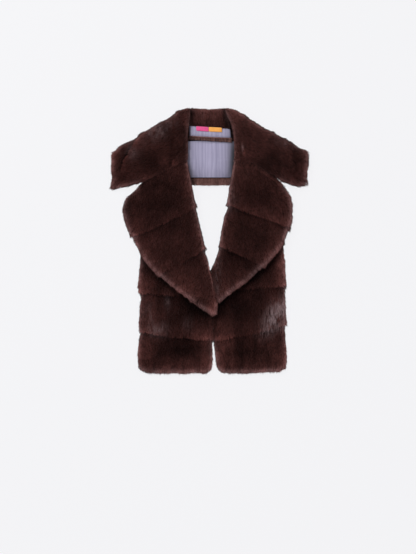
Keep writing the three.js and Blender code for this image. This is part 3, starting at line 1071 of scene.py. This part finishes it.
def rim_of(node):
    """Places along the open edge of a pelt, and the level direction in which each faces."""
    mesh = pelts[node].data
    found = places(mesh)
    turned = normals(mesh)
    ends = np.empty(2 * len(mesh.edges), int)
    mesh.edges.foreach_get("vertices", ends)
    ends = ends.reshape(-1, 2)
    level = (np.abs(turned[:, 2]) < RIM_LEVEL) & (joined(node, found, turned) == 0)
    ends = ends[level[ends].all(axis=1)]
    shares = (np.arange(RIM_STEPS) / RIM_STEPS)[:, None, None]
    spots = (found[ends[:, 0]] * (1 - shares) + found[ends[:, 1]] * shares).reshape(-1, 3)
    facing = unit(np.tile(turned[ends[:, 0]], (RIM_STEPS, 1)) * (1, 1, 0))
    free = np.array([covered(p, n, LOOK_UP[:1]) == 0 for p, n in zip(spots, facing)])
    return spots[free] * (1, 1, 0), facing[free]


def from_rim(node, roots):
    """How far each root is from the open edge, in mm, and the way that the edge faces."""
    spots, facing = rim_of(node)
    tree = tree_of_spots(spots)
    nearest = [tree.find((root[0], root[1], 0)) for root in roots]
    away = np.array([found[2] for found in nearest]) / MM
    return away, facing[[found[1] for found in nearest]]


print("rim of the right lapel:", len(rim_of("right_lapel")[0]), "places")

# %% [markdown]
# At the ends of the seams, and at the tips of the collar, a few longer strands gather in a small
# tuft and break the outline. Each tuft has a place, the way it points and how much longer its
# strands are.

# %% Tufts
TUFT_SIZE = 5.5
TUFT_TURN = 1.3
TUFT_GATHER = 0.1
TUFTS = named("x y turn reach", [
    (-188, 18, -95, 7),
    (-33, 90, -30, 6),
    (-10, -16, -8, 6),
    (-123, -87, -110, 4),
    (-173, -120, -120, 2),
    (-170, -214, 190, 0),
    (41, 91, 215, 5),
    (192, 33, -65, 8),
    (22, -12, 200, 5),
    (182, -4, -20, 5),
    (131, -60, -70, 6),
    (186, -107, -50, 5),
    (185, -196, -20, 4),
    (-234, 130, -130, 7),
    (232, 138, -50, 7),
    (148, 263, 15, 5),
    (126, 276, 20, 3),
    (-40, -138, -110, 4),
])


def tufted(roots, way, reach):
    """Turns and lengthens the strands at the tufts."""
    for tuft in TUFTS:
        share, apart = near(tuft, roots[:, :2], TUFT_SIZE)
        turn = math.radians(tuft["turn"])
        goal = np.array([math.cos(turn), math.sin(turn), 0.1])
        gather = np.pad(apart, ((0, 0), (0, 1)))
        way = way + TUFT_TURN * share * goal - TUFT_GATHER * share * gather
        reach = reach + share[:, 0] * tuft["reach"] * MM
    return unit(way), reach


print("tufts:", len(TUFTS))

# %% [markdown]
# A strand is the smallest closed form there is, a slim four-sided needle: two corners at the
# root, one at the bend and one at the tip. Strands lean together in locks, so each one takes
# part of its direction from the nearest lock, and its tip is drawn towards the lock's tip. Near
# a rim a strand would reach too far out, so it is shorter there, and noise in the length makes
# the edges ragged.

# %% Combing
LOCK_SIZE = 8.5 * MM
LOCK_PULL = 0.16
LOCK_GOAL = 0.9
LIFT = 17
LIFT_SPREAD = 5
LIP_LIFT = 7
LIP_REACH = 7
TURN_LOCK = 7
TURN_STRAND = 9
TURN_SWIRL = 9
SWIRL_SIZE = 60 * MM
SHORTER_OUT = 0.5
SHORTER_BACK = 0.78
RAGGED = 0.28
RAGGED_SIZE = 7 * MM
ROLL_SPREAD = 0.4
WIDTH = 0.85 * MM
KEEL = 0.3 * MM
ARCH = 0.04
BEND_AT = 0.42
ABOVE_FLOOR = 0.25 * MM
LOCK_TONE = 0.05
STRAND_TONE = 0.11


def turned_flat(vectors, degrees):
    angle = np.radians(degrees)
    cos, sin = np.cos(angle), np.sin(angle)
    x = vectors[:, 0] * cos - vectors[:, 1] * sin
    y = vectors[:, 0] * sin + vectors[:, 1] * cos
    return np.stack([x, y, vectors[:, 2]], axis=1)


def locks_of(roots, seed):
    """Lock centres among the roots, about a lock's size apart, and each root's nearest one."""
    chance = np.random.default_rng(seed)
    cells = len(np.unique(np.floor(roots[:, :2] / LOCK_SIZE), axis=0))
    centres = roots[chance.integers(0, len(roots), cells)]
    tree = tree_of_spots(centres)
    return centres, np.array([tree.find(root)[1] for root in roots])


def combed(node, roots, facing, length, seed):
    """The four corners of each strand, and how far its tone departs from its neighbours'."""
    chance = np.random.default_rng(seed)
    count = len(roots)
    nap = np.tile(nap_of(node), (count, 1))
    centres, nearest = locks_of(roots, seed + 1)
    lock_turn = chance.normal(0, TURN_LOCK, len(centres))[nearest]
    swirl = TURN_SWIRL * drift(roots, SWIRL_SIZE, seed + 2)
    nap = turned_flat(nap, lock_turn + swirl + chance.normal(0, TURN_STRAND, count))
    along = (nap * facing).sum(axis=1)
    lay = nap - facing * np.minimum(along, 0)[:, None]
    lift = np.radians(LIFT + chance.normal(0, LIFT_SPREAD, count))
    lip = np.zeros(count)
    for past, strength in past_seams(node, roots[:, :2]):
        lip += np.exp(-((past / LIP_REACH) ** 2)) * (past < 0) * strength
    lift += np.radians(LIP_LIFT) * lip
    way = unit(lay * np.cos(lift)[:, None] + facing * np.sin(lift)[:, None])
    shorter = np.where(along > 0, SHORTER_OUT, SHORTER_BACK) * np.abs(along)
    ragged = 1 + RAGGED * drift(roots, RAGGED_SIZE, seed + 3)
    reach = length * (1 - shorter) * ragged * chance.uniform(0.75, 1.12, count)
    way, reach = tufted(roots, way, reach)
    tips = roots + way * reach[:, None]
    goals = centres[nearest] + way * (length * LOCK_GOAL)
    tips += LOCK_PULL * (goals - tips) * rising(facing[:, 2], 0.5, 0.9)[:, None]
    chord = tips - roots
    side = unit(np.cross(chord, facing))
    roll = chance.normal(0, ROLL_SPREAD, count)[:, None]
    side = side * np.cos(roll) + unit(np.cross(side, chord)) * np.sin(roll)
    up = unit(np.cross(side, chord))
    bends = roots + chord * BEND_AT + up * (KEEL + ARCH * length)
    half = side * (WIDTH / 2) * chance.uniform(0.75, 1.25, count)[:, None]
    corners = np.stack([roots + half, roots - half, bends, tips], axis=1)
    corners[:, :, 2] = np.maximum(corners[:, :, 2], ABOVE_FLOOR)
    tone = chance.normal(0, LOCK_TONE, len(centres))[nearest]
    return corners, tone + chance.normal(0, STRAND_TONE, count)


print("strands can be combed")

# %% [markdown]
# How bright a strand is depends on where it shows, which is near its tip. Broad clouds and
# streaks along the nap keep the fur from looking printed. A strand is painted dark just past a
# seam, as the shadow under the band above, paler on the lip before it, and painted nearly black
# right beside the edge of a layer that lies on top, as that layer's shadow.

# %% Clouds, bands and shadows
SHOWN_AT = 0.7
BEND = 2
TIP = 3
STREAK = (1, 0.3)
LONG_STREAK = (1, 0.14)
STREAKS = {
    "right_front": (0.3, 11 * MM),
    "left_front": (0.3, 11 * MM),
    "collar_back": (0.2, 11 * MM),
    "neck_band": (0.6, 3 * MM),
    "back_hem": (0.3, 3 * MM),
}
PLAIN_STREAKS = (0.08, 11 * MM)
SEAM_FINE = 3.0
SEAM_BROAD = 26
LIP_BROAD = 12
LIP_FINE = 3
EDGE_REACH = 8
OVER = {
    "right_front": ["right_lapel", "left_lapel"],
    "left_front": ["right_lapel", "left_lapel"],
    "left_lapel": ["right_lapel"],
}


def uneven(node, shown):
    """The broad clouds and the streaks along the wrap."""
    amount, size = STREAKS.get(node, PLAIN_STREAKS)
    clouds = 1 + 0.26 * drift(shown, 42 * MM, 31) + 0.18 * drift(shown, 17 * MM, 36)
    clouds += 0.1 * drift(shown * STREAK, 6 * MM, 32)
    return clouds * (1 + amount * drift(shown * LONG_STREAK, size, 34))


def seam_shadow_and_lip(node, shown):
    """Painted shadow past each seam, and paler on the lip before it."""
    band = np.ones(len(shown))
    for past, strength in past_seams(node, shown):
        line = 0.7 * np.exp(-((past / SEAM_FINE) ** 2))
        after = line + 0.34 * np.exp(-past.clip(0) / SEAM_BROAD)
        before = past.clip(max=0)
        before = 0.4 * np.exp(before / LIP_BROAD) + 0.35 * np.exp(before / LIP_FINE)
        band *= np.where(past < 0, 1 + before * strength, 1 - after * strength)
    return band.clip(0.05)


def shadowed(node, roots):
    """1 right beside the edge of a layer that lies over this one, and 0 away from it."""
    shadow = np.zeros(len(roots))
    for other in OVER.get(node, []):
        away = from_rim(other, roots)[0]
        shadow = np.maximum(shadow, np.exp(-away / EDGE_REACH))
    return shadow * (0.85 + 0.3 * drift(roots, 11 * MM, 37))


print("pieces with a layer over them:", list(OVER))

# %% [markdown]
# At the open rims the strands are painted palest, as light coming through the hair, most of all
# where the hair points outwards. This painted glow has a fine line at the very edge, a little
# painted sheen in it, and a broad faint part behind it, which is stronger at the fronts' sides,
# where the light grazes them. Corners under a layer get painted shade, and the patches make the
# fur darker, warmer or silver.

# %% Tones
BASE_TONE = 0.098
RIM_FINE = 3.2
RIM_BROAD = 22
RIM_BRIGHT = 3.6
RIM_SIDE = 0.5
BROAD_SIDES = {"right_front": 2.0, "left_front": 2.0}
RIM_SHEEN = 0.6
RIM_DRIFT = 9 * MM
AGAINST_BRIGHT = 1.3
CORNER_SHADE = 1.7
DEEPEST_CORNER = 0.55
EDGE_SHADOW = 0.88
DARKEST = 0.004


def painted_sheen_of(node, shown):
    """The painted silver sheen patches, broken up into streaks."""
    streaks = 0.75 + 0.6 * drift(shown * STREAK, 7 * MM, 33)
    streaks += 0.8 * drift(shown * STREAK, 2.4 * MM, 35)
    return patched(node, shown, PAINTED_SHEEN_PATCHES) * streaks


def tones(node, corners, facing, tone, rim):
    """Brightness, painted light and shade included, and painted sheen at each strand's corners;
    the root's two are as the bend is.
    """
    roots = corners[:, 0]
    shown = (roots + SHOWN_AT * (corners[:, TIP] - roots))[:, :2]
    corner = np.array([corner_shade_of(p, n) for p, n in zip(roots, facing)])
    bright = BASE_TONE * (uneven(node, shown) + tone) * seam_shadow_and_lip(node, shown)
    bright *= 1 - CORNER_SHADE * corner.clip(0, DEEPEST_CORNER)
    bright *= 1 - EDGE_SHADOW * shadowed(node, roots)
    # dark patches are partly painted shadow, pale ones partly painted rim light
    bright *= (1 - patched(node, shown, DARK_AND_SHADOW_PATCHES)).clip(0.12, 1)
    bright *= 1 + patched(node, shown, PALE_AND_RIM_LIGHT_PATCHES)
    silver = painted_sheen_of(node, shown)
    against = (-with_nap(node, facing)).clip(0, 1)
    broad_side = BROAD_SIDES.get(node, RIM_SIDE)
    marks = []
    for end in (BEND, TIP):
        away, outward = from_rim(node, corners[:, end])
        out = with_nap(node, outward).clip(0, 1)
        glow = rim * (1 + 0.5 * drift(corners[:, end], RIM_DRIFT, 38))
        fine = glow * (RIM_SIDE + (1 - RIM_SIDE) * out) * np.exp(-away / RIM_FINE)
        broad = glow * (broad_side + (1 - broad_side) * out) * np.exp(-away / RIM_BROAD)
        broad += AGAINST_BRIGHT * against * np.exp(-away / RIM_FINE)
        marks.append([bright * (1 + RIM_BRIGHT * fine + broad), silver + RIM_SHEEN * fine])
    brights, silvers = np.stack([marks[0], marks[0], *marks], axis=2)
    return brights.clip(DARKEST, 1), silvers.clip(0, 1)


print("the rims reach", RIM_BROAD, "mm in")

# %% [markdown]
# Strands by the ten thousand are too many to model one by one, so each coat becomes one mesh
# from its table of corners. The tones go into a colour attribute, one value at each corner.

# %% The strand mesh
NEEDLE = np.array([(0, 1, 2), (0, 2, 3), (2, 1, 3), (0, 3, 1)])
TIP_SHARES = (0.0, 0.0, 0.5, 1.0)


def strand_mesh(name, corners, bright, silver, finish):
    count = len(corners)
    faces = (4 * np.arange(count)[:, None, None] + NEEDLE).reshape(-1, 3)
    mesh = bpy.data.meshes.new(name)
    mesh.from_pydata(corners.reshape(-1, 3), [], faces)
    marks = np.ones((count, 4, 4))
    marks[:, :, 0] = TIP_SHARES
    marks[:, :, 1] = bright
    marks[:, :, 2] = silver
    layer = mesh.color_attributes.new("pelt", "FLOAT_COLOR", "POINT")
    layer.data.foreach_set("color", marks.ravel())
    mesh.materials.append(finish)
    piece = bpy.data.objects.new(name, mesh)
    bpy.context.collection.objects.link(piece)
    return piece


print("a strand has", len(NEEDLE), "triangles")

# %% [markdown]
# Each coat has its own hair length in millimetres, strands per square millimetre, glow at the
# rim and tone. A root whose way up is barred by another layer is left out, so no hair pokes
# through from below.

# %% Coats
COATS = named("length density rim tone", {
    "right_front": (10, 0.84, 0.95, 0.91),
    "left_front": (10, 0.84, 0.9, 0.84),
    "right_lapel": (10, 0.8, 1.0, 0.95),
    "left_lapel": (10, 0.8, 1.0, 0.88),
    "right_collar": (10, 0.84, 0.6, 1),
    "left_collar": (10, 0.84, 0.6, 1),
    "collar_back": (8, 1.0, 0.25, 1.55),
    "back": (6, 0.6, 0.2, 1),
    "back_hem": (4.5, 1.6, 0.1, 1.6),
    "neck_band": (3.5, 1.8, 0.1, 1.1),
})
NOT_BARRED = 0.2

coats = {}
for number, (node, coat) in enumerate(COATS.items(), 1):
    seed = 100 * number + 1
    roots, facing = planted(pelts[node].data, coat["density"], seed)
    free = np.array([
        n[2] < NOT_BARRED or covered(p, n, LOOK_UP[:1]) == 0 for p, n in zip(roots, facing)
    ])
    roots, facing = roots[free], facing[free]
    corners, tone = combed(node, roots, facing, coat["length"] * MM, seed)
    bright, silver = tones(node, corners, facing, tone, coat["rim"])
    finish = sheared_hair if node in SHEARED else mink_hair
    coats[node] = strand_mesh(node + "_hair", corners, bright * coat["tone"], silver, finish)
    print(node, "has", len(roots), "strands")

# %% [markdown]
# The linings are thin cloth on the back and on the stand. A copy of each solid is cut finer and
# given the wrinkles that run down from the neck, and its top edge is tucked a little further
# under what lies above it. The shade in the corners under the fur comes from the same rays as
# the hair's, and three soft shades are added.

# %% Linings
WRINKLE_PITCH = 11 * MM
WRINKLE_DEPTH = 0.55 * MM
WRINKLE_WANDER = 1.6
TUCKED = 3 * MM
TUCK_REACH = 12 * MM
LIT = 1.05
LINING_CORNER = 1.3
LINING_SHADES = named(PATCH, [
    (62, 195, 16, 70, 1.0),
    (-52, 180, 7, 60, 0.3),
    (0, 240, 60, 5, 0.2),
])


def wrinkled(node):
    piece = copied(node, node + "_cloth")
    smoothed(piece, 3)
    found = places(piece.data)
    facing = rising(normals(piece.data)[:, 2], 0.3, 0.9)
    wander = WRINKLE_WANDER * drift(found * (1, 0.3, 1), 24 * MM, 41)
    wave = np.sin(TURN * found[:, 0] / WRINKLE_PITCH + wander)
    wave = wave * (1 + drift(found, 30 * MM, 42)) / 2
    found[:, 2] += facing * WRINKLE_DEPTH * (wave - 0.6)
    top = found[:, 1].max()
    found[:, 1] += TUCKED * rising(found[:, 1], top - TUCK_REACH, top)
    move(piece.data, found)
    piece.data.materials.append(lining_satin)
    corner = np.array([corner_shade_of(p, (0, 0, 1)) for p in found])
    dim = 1 - patched(node, found[:, :2], LINING_SHADES)
    marked(piece, "shade", (LIT - LINING_CORNER * corner) * dim.clip(0.1, 1))
    return piece


linings = {node: wrinkled(node) for node in ("back_lining", "stand_lining")}
print("linings:", {node: len(piece.data.polygons) for node, piece in linings.items()})

# %% [markdown]
# The label is two short ribbons, pink and orange, sewn end to end and bare of words. Each is a
# copy of its solid, cut finer, bowed a little between its stitches and slid up with the lining
# that it is sewn to.

# %% Label
LABEL_BOW = 0.5 * MM
LABEL_UP = 2.2 * MM


def ribbon_piece(node, finish):
    piece = copied(node, node + "_ribbon")
    smoothed(piece, 2, "SIMPLE")
    found = places(piece.data)
    low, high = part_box(node)
    share = (found[:, 0] - low[0]) / (high[0] - low[0])
    found[:, 1] += LABEL_UP
    found[:, 2] += LABEL_BOW * np.sin(math.pi * share) * (1 + drift(found, 7 * MM, 51)) / 2
    move(piece.data, found)
    piece.data.materials.append(finish)
    return piece


labels = {
    "label_pink": ribbon_piece("label_pink", pink_ribbon),
    "label_orange": ribbon_piece("label_orange", orange_ribbon),
}
print("ribbons:", len(labels))

# %% [markdown]
# Every piece rides on the wrap's one body and stands for its solid, which is hidden. A table
# lists each layer of fur or cloth as a sheet, with the width, length and area that it was cut
# to, in metres, as far as it shows, its slot and the layers that it lies on.

# %% One body and the sheets table
SHEETS = named("width length area slot rests_on", {
    "right_front": (0.182, 0.606, 0.098, "fur", []),
    "left_front": (0.178, 0.606, 0.096, "fur", []),
    "right_lapel": (0.226, 0.374, 0.056, "fur", ["right_front"]),
    "left_lapel": (0.196, 0.340, 0.049, "fur", ["left_front"]),
    "right_collar": (0.200, 0.260, 0.042, "fur", ["right_front", "back"]),
    "left_collar": (0.200, 0.260, 0.040, "fur", ["left_front", "back"]),
    "collar_back": (0.104, 0.172, 0.0165, "fur", ["back"]),
    "back": (0.320, 0.144, 0.036, "fur", []),
    "back_hem": (0.290, 0.020, 0.0055, "fur", ["back"]),
    "neck_band": (0.105, 0.014, 0.0014, "fur_band", ["back_lining", "stand_lining"]),
    "back_lining": (0.298, 0.088, 0.0245, "lining", ["back"]),
    "stand_lining": (0.104, 0.034, 0.0034, "lining", ["collar_back"]),
    "label_pink": (0.030, 0.012, 0.00036, "label_pink", ["stand_lining"]),
    "label_orange": (0.032, 0.012, 0.00038, "label_orange", ["stand_lining"]),
})
main_pieces = {**pelts, **labels, **linings}

for node, piece in main_pieces.items():
    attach(piece, "root")
    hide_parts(node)
    if node in coats:
        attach(coats[node], "root")

# %% Count the triangles and finish
triangles = 0
for piece in [*main_pieces.values(), *coats.values()]:
    triangles += sum(len(face.vertices) - 2 for face in piece.data.polygons)
print("triangles:", triangles)
